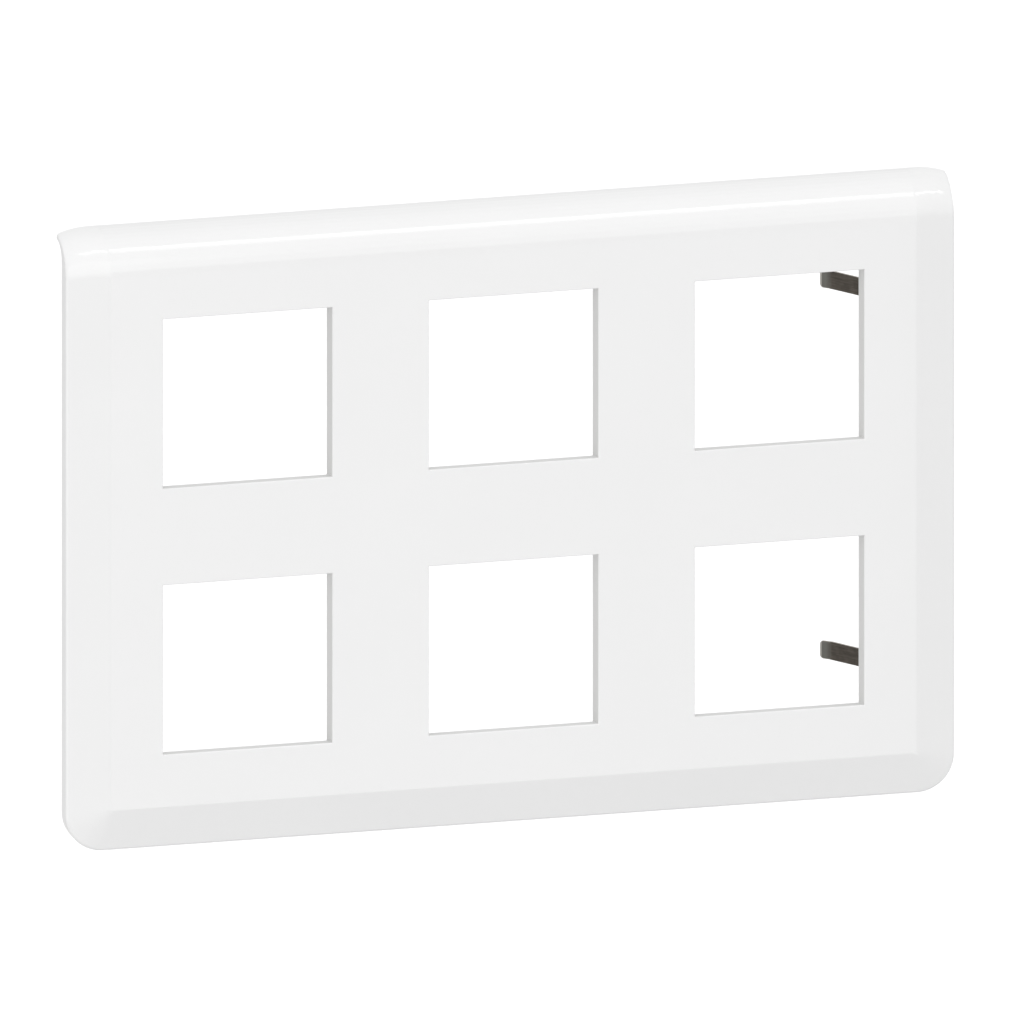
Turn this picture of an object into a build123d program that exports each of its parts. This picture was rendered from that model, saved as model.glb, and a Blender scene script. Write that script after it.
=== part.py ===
"""Switch plate: a moulded cover with six device windows, a rolled top edge and four spring clips behind it.

Millimetres, +Z up. The origin is the middle of the grid of windows, on the wall, and the plate faces -Y.
"""

from build123d import *
import os

# The grid of windows for the wiring devices
columns = 3
rows = 2
column_pitch = 71.0
row_pitch = 71.0
window_width = 45.2
window_height = 45.2
window_edge_round = 0.35

# The outline, measured outwards from the outermost window edges
side_margin = 25.0
bottom_margin = 25.4
top_margin = 22.9
corner_radius = 10.0

# The section, measured back from the flat front face, with the wall at plate_depth
plate_depth = 12.7
skirt_depth = 7.8
skin = 2.8
skirt_wall = 1.8
bevel_width = 11.0
bottom_bevel_width = 11.5
bevel_drop = 3.35
rim_round = 1.0
flat_corner = 0.6

# The rolled top edge, which alone reaches back to the wall and falls a little towards its ends
roll_radius = 10.8
roll_lead = 2.0
lip_wall = 2.0
lip_end_wall = 1.5
lip_fall = 1.4
lip_fall_run = 8.5
end_steps = 4

# Stiffening and ejector pin marks on the hidden side
cheek_wall = 1.6
cheek_depth = 5.7
cross_rib_wall = 1.4
cross_rib_depth = 4.8
cross_rib_offset = 7.0
pin_mark_radius = 2.5
pin_mark_height = 0.15

# Spring clips: the strip, and the steps from one bend of its middle line to the next
clip_height = 49.5
clip_width = 4.8
clip_gauge = 0.5
clip_foot = 6.5
clip_end_round = 1.1
heel_round = 1.0
shoulder_out = 3.0
shoulder_rise = 7.7
shoulder_round = 2.0
elbow_in = 7.9
elbow_rise = 12.4
elbow_round = 6.0
tip_in = 2.4
tip_rise = 2.4

# The moulded seat of a clip: two hooks over its foot and a stop at its toe
seat_clearance = 0.1
heel_clearance = 0.6
side_clearance = 0.2
lift_clearance = 0.45
toe_clearance = 0.4
hook_start = 2.4
hook_length = 2.6
hook_wall = 1.2
hook_lip = 0.8
hook_overlap = 0.7
toe_stop_wall = 1.2

# How far cuts run past what they cut, and how a face is told by the way it looks
cut_past = 1.0
square_on = 0.05
upward = 0.5

# Places worked out from the sizes above
front = -plate_depth
column_places = [column_pitch * (i - (columns - 1) / 2) for i in range(columns)]
row_places = [row_pitch * (i - (rows - 1) / 2) for i in range(rows)]
grid_right = column_places[-1] + window_width / 2
grid_top = row_places[-1] + window_height / 2
half_width = grid_right + side_margin
flat_half = half_width - bevel_width
top = grid_top + top_margin
bottom = -grid_top - bottom_margin
seam = top - roll_radius - roll_lead
behind = max(0, front + bevel_drop + roll_radius) + cut_past
heel_x = grid_right + cheek_wall + heel_clearance + clip_gauge / 2
foot_y = front + skin + seat_clearance + clip_gauge / 2


def block(x_range, y_range, z_range):
    """A box between two values on each axis."""
    spans = [sorted(span) for span in (x_range, y_range, z_range)]
    middle = [(low + high) / 2 for low, high in spans]
    return Pos(*middle) * Box(*(high - low for low, high in spans))


def outline(half, low, corner):
    """The plate from the front, from its lower edge up to where the roll takes over."""
    sheet = Pos(0, (low + seam) / 2) * Rectangle(2 * half, seam - low)
    return fillet(sheet.vertices().group_by(Axis.Y)[0], corner)


def roll_section(x, wall, lip):
    """The rolled top edge cut across at x, set in by wall at its front and by lip at its crown."""
    fall = lip_fall * (max(0, x - half_width + lip_fall_run) / lip_fall_run) ** 2
    radius = roll_radius - wall
    face_y = front + wall + bevel_drop * (x - flat_half) / bevel_width
    crown = top - fall - lip
    lead, arc_end = (face_y, crown - radius), (face_y + radius, crown)
    sides = Polyline(arc_end, (behind, crown), (behind, seam), (face_y, seam), lead)
    roll = CenterArc((face_y + radius, crown - radius), radius, 90, 90)
    return Plane.YZ.offset(x) * make_face(sides.edges() + roll.edges())


def shell_form(wall, side, lip, skirt_rear):
    """The plate as a closed form that runs on behind the wall, set in by its walls where they are given."""
    face_y = front + wall
    rim_width = bevel_width - side
    rim_y = face_y + bevel_drop * rim_width / bevel_width
    face = Plane.XZ.offset(-face_y) * outline(flat_half, bottom + bottom_bevel_width, flat_corner)
    rim = Plane.XZ.offset(-rim_y) * outline(half_width - side, bottom + side, corner_radius - side)
    form = loft([face, rim], ruled=True)
    form += extrude(rim, amount=skirt_rear - rim_y, dir=(0, 1, 0))
    form += extrude(roll_section(flat_half, wall, lip), amount=2 * flat_half, dir=(-1, 0, 0))
    places = [flat_half + rim_width * step / end_steps for step in range(end_steps + 1)]
    end = loft([roll_section(x, wall, lip) for x in places])
    return form + end + mirror(end, about=Plane.YZ)


def rim_edges(form):
    """The edges where the shown faces meet the side and lower walls, from end to end of the lip."""
    shown, walls = [], []
    for face in form.faces():
        way = face.normal_at(face.center())
        if way.Y < -square_on or way.Z > upward:
            shown += face.edges()
        elif way.Y < square_on:
            walls += face.edges()
    return [edge for edge in walls if edge in shown]


def side_notch():
    """What the side walls leave free behind them: they sweep back to the wall only under the lip."""
    sweep = plate_depth - skirt_depth
    start = top - lip_fall - lip_end_wall - sweep
    across = (-half_width, half_width)
    bend = Pos(0, 0, start) * Rot(0, 90, 0) * Cylinder(sweep, 2 * half_width)
    return block(across, (-sweep, behind), (bottom, start)) + bend


def windows():
    """The square openings, right through the skin."""
    depth = (front - cut_past, front + cheek_depth + cut_past)
    openings = []
    for x in column_places:
        for z in row_places:
            across = (x - window_width / 2, x + window_width / 2)
            upright = (z - window_height / 2, z + window_height / 2)
            openings.append(block(across, depth, upright))
    return openings


def cheeks():
    """Upright ribs along both sides of every column of windows."""
    depth = (front, front + cheek_depth)
    ribs = []
    for x in column_places:
        for way in (-1, 1):
            edge = x + way * window_width / 2
            ribs.append(block((edge, edge + way * cheek_wall), depth, (bottom, top)))
    return ribs


def cross_ribs():
    """Level ribs between the rows of windows, above them and below them."""
    depth = (front, front + cross_rib_depth)
    between = [(low + high) / 2 for low, high in zip(row_places, row_places[1:])]
    outermost = grid_top + cross_rib_offset
    ribs = []
    for z in [-outermost, *between, outermost]:
        upright = (z - cross_rib_wall / 2, z + cross_rib_wall / 2)
        ribs.append(block((-half_width, half_width), depth, upright))
    return ribs


def pin_marks():
    """Low round pads that the ejector pins leave, on both sides of every window."""
    side = (grid_right + cheek_wall + flat_half) / 2
    between = [(low + high) / 2 for low, high in zip(column_places, column_places[1:])]
    depth = skin + pin_mark_height
    pads = []
    for x in [-side, *between, side]:
        for z in row_places:
            pads.append(Pos(x, front + depth / 2, z) * Rot(90, 0, 0) * Cylinder(pin_mark_radius, depth))
    return pads


def clip_seat():
    """The seat of the upper right clip."""
    foot_top = foot_y + clip_gauge / 2
    lip_under = foot_top + lift_clearance
    hook_top = lip_under + hook_lip
    along = (heel_x + hook_start, heel_x + hook_start + hook_length)
    post_face = clip_width / 2 + side_clearance
    pieces = []
    for way in (-1, 1):
        lip_end = clip_height + way * (clip_width / 2 - hook_overlap)
        post_in = clip_height + way * post_face
        post_out = post_in + way * hook_wall
        pieces.append(block(along, (front, hook_top), (post_in, post_out)))
        pieces.append(block(along, (lip_under, hook_top), (lip_end, post_in)))
    toe = heel_x + clip_foot + toe_clearance
    beside = (clip_height - post_face, clip_height + post_face)
    pieces.append(block((toe, toe + toe_stop_wall), (front, foot_top), beside))
    return pieces


def at_four_places(pieces):
    """Pieces of the upper right clip's place, then lower right, upper left and lower left."""
    right = [*pieces, *(mirror(piece, about=Plane.XY) for piece in pieces)]
    return [*right, *(mirror(piece, about=Plane.YZ) for piece in right)]


def cover_plate():
    """The moulding: a rounded form, hollowed around its ribs and seats, with its windows cut."""
    form = shell_form(0, 0, 0, front + skirt_depth)
    form = form.fillet(rim_round, rim_edges(form))
    hollow = shell_form(skin, skirt_wall, lip_wall, behind)
    hollow -= [*cheeks(), *cross_ribs(), *pin_marks(), *at_four_places(clip_seat())]
    across, upright = (-half_width - cut_past, half_width + cut_past), (bottom - cut_past, top + cut_past)
    past_wall = block(across, (0, behind + cut_past), upright)
    plate = form - hollow - side_notch() - past_wall - windows()
    face = plate.faces().filter_by(Plane.XZ).sort_by(Axis.Y)[0]
    window_edges = [edge for wire in face.inner_wires() for edge in wire.edges()]
    return plate.fillet(window_edge_round, window_edges)


def spring_clip():
    """The upper right clip: foot, heel, shoulder, elbow and tip of one bent strip with rounded ends."""
    heel = Vector(heel_x, foot_y)
    toe = heel + Vector(clip_foot, 0)
    shoulder = heel + Vector(shoulder_out, shoulder_rise)
    elbow = shoulder + Vector(-elbow_in, elbow_rise)
    tip = elbow + Vector(-tip_in, tip_rise)
    bends = [heel_round + clip_gauge / 2, shoulder_round, elbow_round]
    section = trace(FilletPolyline(toe, heel, shoulder, elbow, tip, radius=bends), clip_gauge)
    strip = Pos(0, 0, clip_height) * extrude(section, amount=clip_width / 2, both=True)
    ends = strip.faces().filter_by(GeomType.PLANE).sort_by(SortBy.AREA)[:2]
    corners = [edge for end in ends for edge in end.edges().sort_by(SortBy.LENGTH)[:2]]
    return strip.fillet(clip_end_round, corners)


os.makedirs("parts", exist_ok=True)
export_step(cover_plate(), "parts/cover_plate.step")
clip_names = ["upper_right_clip", "lower_right_clip", "upper_left_clip", "lower_left_clip"]
for name, clip in zip(clip_names, at_four_places([spring_clip()])):
    export_step(clip, f"parts/{name}.step")
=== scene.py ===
import math

import bmesh
import bpy
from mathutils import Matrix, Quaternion, Vector


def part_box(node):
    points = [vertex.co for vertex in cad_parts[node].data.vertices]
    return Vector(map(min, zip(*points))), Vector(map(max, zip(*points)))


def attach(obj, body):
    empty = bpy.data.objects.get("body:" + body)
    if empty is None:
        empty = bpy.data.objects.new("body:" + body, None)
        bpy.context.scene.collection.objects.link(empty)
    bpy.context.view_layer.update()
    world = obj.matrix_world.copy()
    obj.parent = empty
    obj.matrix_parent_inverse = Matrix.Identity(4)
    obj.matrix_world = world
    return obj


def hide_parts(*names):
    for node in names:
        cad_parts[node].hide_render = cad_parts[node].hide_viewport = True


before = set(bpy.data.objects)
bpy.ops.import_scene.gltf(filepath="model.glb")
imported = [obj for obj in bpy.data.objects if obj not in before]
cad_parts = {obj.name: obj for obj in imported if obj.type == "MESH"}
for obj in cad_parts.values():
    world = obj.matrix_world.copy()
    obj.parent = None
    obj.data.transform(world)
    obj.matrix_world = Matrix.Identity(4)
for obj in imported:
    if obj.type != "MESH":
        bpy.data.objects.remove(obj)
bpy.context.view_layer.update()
scene = bpy.context.scene
mm = 0.001
print("frame loaded:", ", ".join(sorted(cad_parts)))


def linear(hexColour):  # sRGB hex to linear
    parts = [int(hexColour[i:i + 2], 16) / 255 for i in (1, 3, 5)]
    return [p / 12.92 if p <= 0.04045 else ((p + 0.055) / 1.055) ** 2.4 for p in parts] + [1.0]


def addNode(tree, kind, sockets=None, **settings):  # sockets hold plain values or another node's output
    node = tree.nodes.new(kind)
    for name, value in settings.items():
        setattr(node, name, value)
    for name, value in (sockets or {}).items():
        if isinstance(value, bpy.types.NodeSocket):
            tree.links.new(value, node.inputs[name])
        else:
            node.inputs[name].default_value = value
    return node


def newMaterial(name):  # returns the material, its tree, its shader and its object coordinates
    material = bpy.data.materials.new(name)
    material.use_nodes = True
    tree = material.node_tree
    place = addNode(tree, "ShaderNodeTexCoord").outputs["Object"]
    return material, tree, tree.nodes["Principled BSDF"], place


mixFactor, mixFirst, mixSecond, mixResult = 0, 6, 7, 2  # where a Mix node set to colours has its sockets

# polished face of the moulding: white ABS cast against a polished steel tool, so it is even and glossy,
# with only a faint long ripple where the plastic flowed and shrank, and a slightly uneven shine
glossLook = {
    "white": "#f2f2f2", "shade": "#f0f0f0", "shine": (0.08, 0.12), "ior": 1.53,
    "flowSize": 26 * mm, "flowDetail": 2.0,
    "peelSize": 3.5 * mm, "peelDetail": 1.0, "peelHeight": 0.0006 * mm,
}
glossAbs, tree, shader, place = newMaterial("glossMouldedAbs")
flow = addNode(tree, "ShaderNodeTexNoise", {
    "Vector": place, "Scale": 1 / glossLook["flowSize"], "Detail": glossLook["flowDetail"]})
tint = addNode(tree, "ShaderNodeMix", {
    mixFactor: flow.outputs[0], mixFirst: linear(glossLook["white"]), mixSecond: linear(glossLook["shade"])},
    data_type="RGBA")
sheen = addNode(tree, "ShaderNodeMapRange", {
    "Value": flow.outputs[0], "To Min": glossLook["shine"][0], "To Max": glossLook["shine"][1]})
peel = addNode(tree, "ShaderNodeTexNoise", {
    "Vector": place, "Scale": 1 / glossLook["peelSize"], "Detail": glossLook["peelDetail"]})
ripple = addNode(tree, "ShaderNodeBump", {
    "Height": peel.outputs[0], "Distance": glossLook["peelHeight"]})
tree.links.new(tint.outputs[mixResult], shader.inputs["Base Color"])
tree.links.new(sheen.outputs[0], shader.inputs["Roughness"])
tree.links.new(ripple.outputs[0], shader.inputs["Normal"])
shader.inputs["IOR"].default_value = glossLook["ior"]

# core side of the moulding, its back and the reveals of its windows: the same ABS against a spark-eroded
# tool, so it is dull, with an even grain, drawn coarser than the real one to show. Its colour is painted a
# little greyer than the polished face, as painted shade that stands in for the shade inside the window
# reveals
satinAndPaintedShadeLook = {
    "white": "#e1e1e0", "shade": "#dbdbda", "shine": (0.42, 0.6), "ior": 1.53,
    "grainSize": 0.4 * mm, "grainHeight": 0.012 * mm, "flowSize": 18 * mm, "flowDetail": 2.0,
}
satinAbsPaintedShade, tree, shader, place = newMaterial("satinMouldedAbs")
flow = addNode(tree, "ShaderNodeTexNoise", {
    "Vector": place, "Scale": 1 / satinAndPaintedShadeLook["flowSize"], "Detail": satinAndPaintedShadeLook["flowDetail"]})
tint = addNode(tree, "ShaderNodeMix", {
    mixFactor: flow.outputs[0], mixFirst: linear(satinAndPaintedShadeLook["white"]), mixSecond: linear(satinAndPaintedShadeLook["shade"])},
    data_type="RGBA")
grain = addNode(tree, "ShaderNodeTexVoronoi", {
    "Vector": place, "Scale": 1 / satinAndPaintedShadeLook["grainSize"]}, feature="SMOOTH_F1")
sheen = addNode(tree, "ShaderNodeMapRange", {
    "Value": grain.outputs["Distance"], "To Min": satinAndPaintedShadeLook["shine"][0], "To Max": satinAndPaintedShadeLook["shine"][1]})
pits = addNode(tree, "ShaderNodeBump", {
    "Height": grain.outputs["Distance"], "Distance": satinAndPaintedShadeLook["grainHeight"]})
tree.links.new(tint.outputs[mixResult], shader.inputs["Base Color"])
tree.links.new(sheen.outputs[0], shader.inputs["Roughness"])
tree.links.new(pits.outputs[0], shader.inputs["Normal"])
shader.inputs["IOR"].default_value = satinAndPaintedShadeLook["ior"]

# broad faces of the clips: tempered spring strip with its brown-black oxide and drawn lines along its length,
# coarser than the real ones to show. It is rubbed grey at the tip, where it slides over the fixing frame
# (from one depth to the next). Along the very end (by depth less distance from the middle) it is painted
# bright:
# bare steel there, and also a painted highlight where the end catches the light
stripLook = {
    "oxide": "#4d4843", "worn": "#6a645d", "wear": (0.12, 0.42), "shine": (0.28, 0.42),
    "rubbed": "#7c7b76", "rubs": (10.1 * mm, 11.5 * mm),
    "bright": "#c2bfb9", "brightens": (-76.75 * mm, -76.5 * mm),
    "lineSize": 0.22 * mm, "lineLength": 6 * mm, "lineHeight": 0.004 * mm, "lineDetail": 3.0,
    "bloomSize": 3 * mm, "bloomDetail": 2.0,
}
springStrip, tree, shader, place = newMaterial("temperedSpringStrip")
alongLine, acrossLine = 1 / stripLook["lineLength"], 1 / stripLook["lineSize"]
alongStrip = addNode(tree, "ShaderNodeMapping", {
    "Vector": place, "Scale": (alongLine, alongLine, acrossLine)})
lines = addNode(tree, "ShaderNodeTexNoise", {
    "Vector": alongStrip.outputs[0], "Scale": 1.0, "Detail": stripLook["lineDetail"]})
bloom = addNode(tree, "ShaderNodeTexNoise", {
    "Vector": place, "Scale": 1 / stripLook["bloomSize"], "Detail": stripLook["bloomDetail"]})
blend = addNode(tree, "ShaderNodeMath", {0: lines.outputs[0], 1: bloom.outputs[0]}, operation="MULTIPLY")
wear = addNode(tree, "ShaderNodeMapRange", {
    "Value": blend.outputs[0], "From Min": stripLook["wear"][0], "From Max": stripLook["wear"][1]})
oxide = addNode(tree, "ShaderNodeMix", {
    mixFactor: wear.outputs[0], mixFirst: linear(stripLook["oxide"]), mixSecond: linear(stripLook["worn"])},
    data_type="RGBA")
depth = addNode(tree, "ShaderNodeSeparateXYZ", {0: place})
rub = addNode(tree, "ShaderNodeMapRange", {
    "Value": depth.outputs["Y"], "From Min": stripLook["rubs"][0], "From Max": stripLook["rubs"][1]})
rubbed = addNode(tree, "ShaderNodeMix", {
    mixFactor: rub.outputs[0], mixFirst: oxide.outputs[mixResult], mixSecond: linear(stripLook["rubbed"])},
    data_type="RGBA")
# band along the very end of the strip: bare steel, and a painted highlight where the end catches the light
side = addNode(tree, "ShaderNodeMath", {0: depth.outputs["X"]}, operation="ABSOLUTE")
reach = addNode(tree, "ShaderNodeMath", {0: depth.outputs["Y"], 1: side.outputs[0]}, operation="SUBTRACT")
end = addNode(tree, "ShaderNodeMapRange", {
    "Value": reach.outputs[0],
    "From Min": stripLook["brightens"][0], "From Max": stripLook["brightens"][1]})
tint = addNode(tree, "ShaderNodeMix", {
    mixFactor: end.outputs[0], mixFirst: rubbed.outputs[mixResult], mixSecond: linear(stripLook["bright"])},
    data_type="RGBA")
sheen = addNode(tree, "ShaderNodeMapRange", {
    "Value": lines.outputs[0], "To Min": stripLook["shine"][0], "To Max": stripLook["shine"][1]})
drawn = addNode(tree, "ShaderNodeBump", {
    "Height": lines.outputs[0], "Distance": stripLook["lineHeight"]})
tree.links.new(tint.outputs[mixResult], shader.inputs["Base Color"])
tree.links.new(sheen.outputs[0], shader.inputs["Roughness"])
tree.links.new(drawn.outputs[0], shader.inputs["Normal"])
shader.inputs["Metallic"].default_value = 1.0

# sheared edges of the clips: bare bright steel, torn across the thickness, so it is rough and uneven, with
# tears drawn coarser than the real ones to show
shearLook = {
    "bare": "#b4b0a8", "dark": "#8a857d", "shine": (0.35, 0.55),
    "tearSize": 0.15 * mm, "tearDetail": 2.0, "tearHeight": 0.01 * mm,
}
shearedSteel, tree, shader, place = newMaterial("shearedSteelEdge")
tears = addNode(tree, "ShaderNodeTexNoise", {
    "Vector": place, "Scale": 1 / shearLook["tearSize"], "Detail": shearLook["tearDetail"]})
tint = addNode(tree, "ShaderNodeMix", {
    mixFactor: tears.outputs[0], mixFirst: linear(shearLook["bare"]), mixSecond: linear(shearLook["dark"])},
    data_type="RGBA")
sheen = addNode(tree, "ShaderNodeMapRange", {
    "Value": tears.outputs[0], "To Min": shearLook["shine"][0], "To Max": shearLook["shine"][1]})
torn = addNode(tree, "ShaderNodeBump", {
    "Height": tears.outputs[0], "Distance": shearLook["tearHeight"]})
tree.links.new(tint.outputs[mixResult], shader.inputs["Base Color"])
tree.links.new(sheen.outputs[0], shader.inputs["Roughness"])
tree.links.new(torn.outputs[0], shader.inputs["Normal"])
shader.inputs["Metallic"].default_value = 1.0
print("materials made:", len(bpy.data.materials))

merging = {"weld": 0.001 * mm, "levelAngle": 0.1}


def mergedCopy(node):  # the node's loose triangles joined up, with level triangles made one face
    bm = bmesh.new()
    bm.from_mesh(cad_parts[node].data)
    bmesh.ops.remove_doubles(bm, verts=bm.verts[:], dist=merging["weld"])
    levelAngle = math.radians(merging["levelAngle"])
    bmesh.ops.dissolve_limit(bm, angle_limit=levelAngle, verts=bm.verts[:], edges=bm.edges[:])
    return bm


def finishPiece(bm, name, node, sharpAngle, materials):  # shades by angle, replaces the node
    for face in bm.faces:
        face.smooth = True
    for edge in bm.edges:
        edge.smooth = edge.calc_face_angle(math.pi) < math.radians(sharpAngle)
    mesh = bpy.data.meshes.new(name)
    bm.to_mesh(mesh)
    bm.free()
    for material in materials:
        mesh.materials.append(material)
    piece = bpy.data.objects.new(name, mesh)
    scene.collection.objects.link(piece)
    even = piece.modifiers.new("evenShading", "WEIGHTED_NORMAL")
    even.keep_sharp = True
    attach(piece, node)
    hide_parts(node)
    return piece


# moulded cover: the crease between flat face and sloped border is eased as a polished tool leaves it, and
# what lies inside the outer walls has the duller finish, in a colour painted darker as shade in the reveals
cover = {
    "creaseEase": 0.3 * mm, "creaseSteps": 3, "sharpAngle": 28,
    "wall": 1.6 * mm, "lip": 1.8 * mm, "corner": 10 * mm,
    "flatWay": -0.9999, "flatReach": 0.01 * mm,  # how a face of the flat front is told
    "shownWay": -0.05, "upWay": 0.5, "backWay": 0.05,  # how shown faces and back faces are told
    "sideReach": 0.02 * mm, "sideAngle": 2,  # how a crease at the sides is told, along its whole height
    "lowAngles": (8, 20), "lowLength": 0.5 * mm, "lowReach": 15 * mm,  # and one above the lower slope
}
bm = mergedCopy("cover_plate")
low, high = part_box("cover_plate")
frontFaces = []
for face in bm.faces:
    if face.normal.y < cover["flatWay"] and face.calc_center_median().y < low.y + cover["flatReach"]:
        frontFaces.append(face)
creaseX = max(v.co.x for f in frontFaces for v in f.verts)
creases = []
for edge in bm.edges:
    angle = math.degrees(edge.calc_face_angle(0))
    shown = all(f.normal.y < cover["shownWay"] or f.normal.z > cover["upWay"] for f in edge.link_faces)
    onSide = all(abs(abs(v.co.x) - creaseX) < cover["sideReach"] for v in edge.verts)
    onFlat = any(f in frontFaces for f in edge.link_faces)
    isLow = min(v.co.z for v in edge.verts) < low.z + cover["lowReach"]
    slopes = cover["lowAngles"][0] < angle < cover["lowAngles"][1]
    lowCrease = onFlat and slopes and isLow and edge.calc_length() > cover["lowLength"]
    if shown and ((onSide and angle > cover["sideAngle"]) or lowCrease):
        creases.append(edge)
bmesh.ops.bevel(bm, geom=creases, offset=cover["creaseEase"], segments=cover["creaseSteps"], profile=0.5,
                affect="EDGES", material=-1)
# back faces and faces inside the outer walls take the satin look, whose darker colour is painted shade
for face in bm.faces:
    middle = face.calc_center_median()
    overX, overZ = abs(middle.x) - high.x + cover["corner"], low.z + cover["corner"] - middle.z
    inset = cover["corner"] - math.hypot(max(0, overX), max(0, overZ))
    inside = inset > cover["wall"] and middle.z < high.z - cover["lip"]
    satinAndPaintedShade = face.normal.y > cover["backWay"] or (inside and face.normal.y > cover["shownWay"])
    face.material_index = 1 if satinAndPaintedShade else 0
coverLooks = [glossAbs, satinAbsPaintedShade]
finishPiece(bm, "mouldedCover", "cover_plate", cover["sharpAngle"], coverLooks)
print("moulded cover finished,", len(creases), "crease edges eased")

# spring clips: bright where the strip was cut, with a small burr along it and a tip that is tumbled round
clip = {
    "gauge": 0.5 * mm, "burr": 0.05 * mm, "tipRound": 0.2 * mm, "tipReach": 2.6 * mm,
    "steps": 2, "sharpAngle": 40,
    "rimAngle": 60, "uprightReach": 0.01 * mm,  # how the rims of the cuts are told, and the upright ones
    "endReach": 1.1, "cutWay": 0.02,  # how the strip's ends (in gauges) and its cut sides are told
}


def rims(bm, behind):  # edges between the strip's faces and its cut sides, as far forward as behind
    square = [e for e in bm.edges if math.degrees(e.calc_face_angle(0)) > clip["rimAngle"]]
    return [e for e in square if min(v.co.y for v in e.verts) > behind]


for node in sorted(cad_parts):
    if node == "cover_plate":
        continue
    bm = mergedCopy(node)
    low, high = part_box(node)
    wholeStrip, tip = low.y - mm, high.y - clip["tipReach"]
    uprights = []
    for edge in rims(bm, wholeStrip):
        if (edge.verts[0].co.xy - edge.verts[1].co.xy).length < clip["uprightReach"]:
            uprights.append(edge)
    for face in bm.faces:
        spots = [v.co.xy for v in face.verts]
        across = max((a - b).length for a in spots for b in spots)
        isEnd = across < clip["endReach"] * clip["gauge"] and any(e in uprights for e in face.edges)
        face.material_index = 1 if abs(face.normal.z) > clip["cutWay"] or isEnd else 0
    for behind, width in ((tip, clip["tipRound"]), (wholeStrip, clip["burr"])):
        eased = bmesh.ops.bevel(bm, geom=rims(bm, behind), offset=width, segments=clip["steps"],
                                profile=0.5, affect="EDGES", material=-1)
        for face in eased["faces"]:
            face.material_index = 1
    words = node.split("_")
    name = words[0] + "".join(word.title() for word in words[1:]) + "Strip"
    finishPiece(bm, name, node, clip["sharpAngle"], [springStrip, shearedSteel])
print("spring clips finished")

# floor: a matt white studio sweep well below the plate, as nothing of it shows in the photo but white
floorLook = {
    "drop": 0.5, "half": 8.0, "white": "#d2d2d2", "mottle": "#cecece", "mottleSize": 40 * mm,
    "roughness": 0.9,
}
sweepVinyl, tree, shader, place = newMaterial("mattSweepVinyl")
mottle = addNode(tree, "ShaderNodeTexNoise", {"Vector": place, "Scale": 1 / floorLook["mottleSize"]})
tint = addNode(tree, "ShaderNodeMix", {
    mixFactor: mottle.outputs[0],
    mixFirst: linear(floorLook["white"]), mixSecond: linear(floorLook["mottle"])}, data_type="RGBA")
tree.links.new(tint.outputs[mixResult], shader.inputs["Base Color"])
shader.inputs["Roughness"].default_value = floorLook["roughness"]
bm = bmesh.new()
bmesh.ops.create_grid(bm, x_segments=1, y_segments=1, size=floorLook["half"])
bmesh.ops.translate(bm, verts=bm.verts[:], vec=(0, 0, -floorLook["drop"]))
floorMesh = bpy.data.meshes.new("studioFloor")
bm.to_mesh(floorMesh)
bm.free()
floorMesh.materials.append(sweepVinyl)
floor = bpy.data.objects.new("studioFloor", floorMesh)
scene.collection.objects.link(floor)

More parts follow.
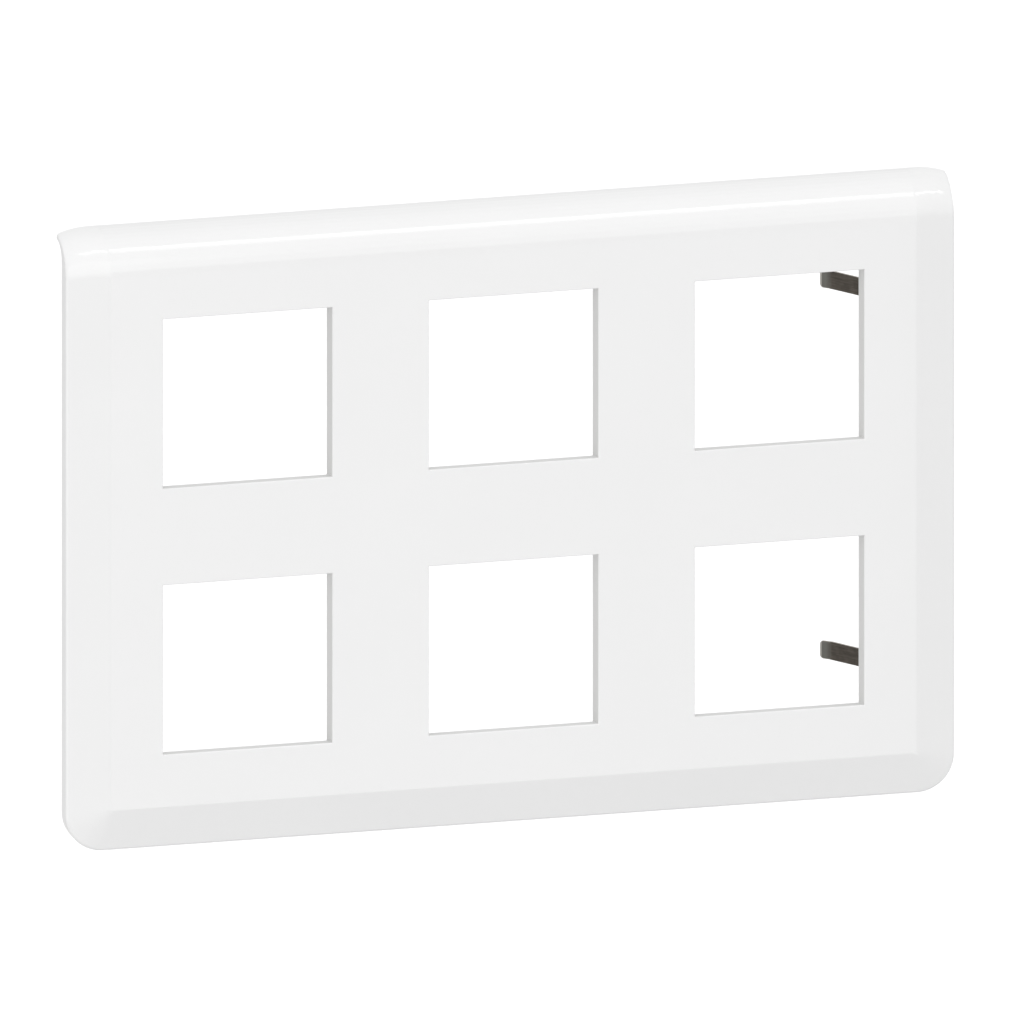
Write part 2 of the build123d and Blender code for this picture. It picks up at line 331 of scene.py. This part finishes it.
# light: an even white room that dims towards the back, soft boxes round the plate, three strips above that
# draw the bright line along the roll and round its ends, and a wash that whitens the floor behind the plate
room = {"white": "#ffffff", "front": 1.055, "back": 0.69}
world = bpy.data.worlds.new("whiteRoom")
scene.world = world
world.use_nodes = True
tree = world.node_tree
place = addNode(tree, "ShaderNodeTexCoord").outputs["Generated"]
way = addNode(tree, "ShaderNodeSeparateXYZ", {0: place})
dimming = addNode(tree, "ShaderNodeMapRange", {
    "Value": way.outputs["Y"], "From Min": -1.0, "To Min": room["front"], "To Max": room["back"]})
tree.nodes["Background"].inputs["Color"].default_value = linear(room["white"])
tree.links.new(dimming.outputs[0], tree.nodes["Background"].inputs["Strength"])
lights = {
    "frontBox": {"at": (-0.3, -1.3, 0.3), "aim": (0, 0, 0), "size": (1.2, 1.0), "watts": 2.15},
    "sheenBox": {"at": (0.145, -0.71, -0.197), "aim": (0, 0, 0), "size": (0.3, 0.24), "watts": 0.117},
    "sideBox": {"at": (-0.8, -0.2, -0.15), "aim": (-0.1, 0, 0), "size": (0.5, 0.5), "watts": 0.72},
    "backBox": {"at": (0.37, 1.08, 0.74), "aim": (0, 0, 0.08), "size": (1.5, 0.7), "watts": 0.6},
    "rollStrip": {
        "at": (0.24, -0.465, 0.875), "aim": (0.24, -0.01, 0.076), "size": (0.25, 0.08), "watts": 0.243},
    "leftStrip": {
        "at": (-0.375, -0.54, 0.82), "aim": (-0.112, -0.005, 0.078), "size": (0.26, 0.062), "watts": 0.21,
        "spin": 45},
    "rightStrip": {
        "at": (0.787, -0.281, 0.681), "aim": (0.112, -0.005, 0.078), "size": (0.27, 0.085), "watts": 0.31,
        "spin": -41},
    "floorWash": {"at": (0.48, 1.78, -0.1), "aim": (0.48, 1.78, -0.5), "size": (1.1, 1.8), "watts": 7.6},
}
for name, box in lights.items():
    lamp = bpy.data.lights.new(name, "AREA")
    lamp.shape = "RECTANGLE"
    lamp.size, lamp.size_y = box["size"]
    lamp.energy = box["watts"]
    holder = bpy.data.objects.new(name, lamp)
    holder.location = box["at"]
    facing = (Vector(box["aim"]) - Vector(box["at"])).to_track_quat("-Z", "Y")
    spin = Quaternion((0, 0, 1), math.radians(box.get("spin", 0)))
    holder.rotation_euler = (facing @ spin).to_euler()
    scene.collection.objects.link(holder)
print("stage and light set:", ", ".join(lights))

# camera: the photo is a parallel view from the upper left
shot = {
    "turn": 15.2, "rise": 15.2, "imageSide": 1024, "pixelsPerMm": 3.8816, "aim": (0, -12.7 * mm, 0),
    "aimRight": 1.8, "aimBelow": 0.36,  # pixels from the middle of the image to where the aim shows
    "stand": 1.2,
}
turn, rise = math.radians(shot["turn"]), math.radians(shot["rise"])
look = Vector((math.sin(turn) * math.cos(rise), math.cos(turn) * math.cos(rise), -math.sin(rise)))
right = Vector((math.cos(turn), -math.sin(turn), 0))
up = right.cross(look)
cameraData = bpy.data.cameras.new("photoView")
cameraData.type = "ORTHO"
cameraData.ortho_scale = shot["imageSide"] / shot["pixelsPerMm"] * mm
camera = bpy.data.objects.new("photoView", cameraData)
pixel = mm / shot["pixelsPerMm"]
offset = shot["aimBelow"] * pixel * up - shot["aimRight"] * pixel * right
camera.location = Vector(shot["aim"]) + offset - shot["stand"] * look
camera.rotation_euler = look.to_track_quat("-Z", "Y").to_euler()
scene.collection.objects.link(camera)
scene.camera = camera
scene.view_settings.view_transform = "Standard"
print("camera set")
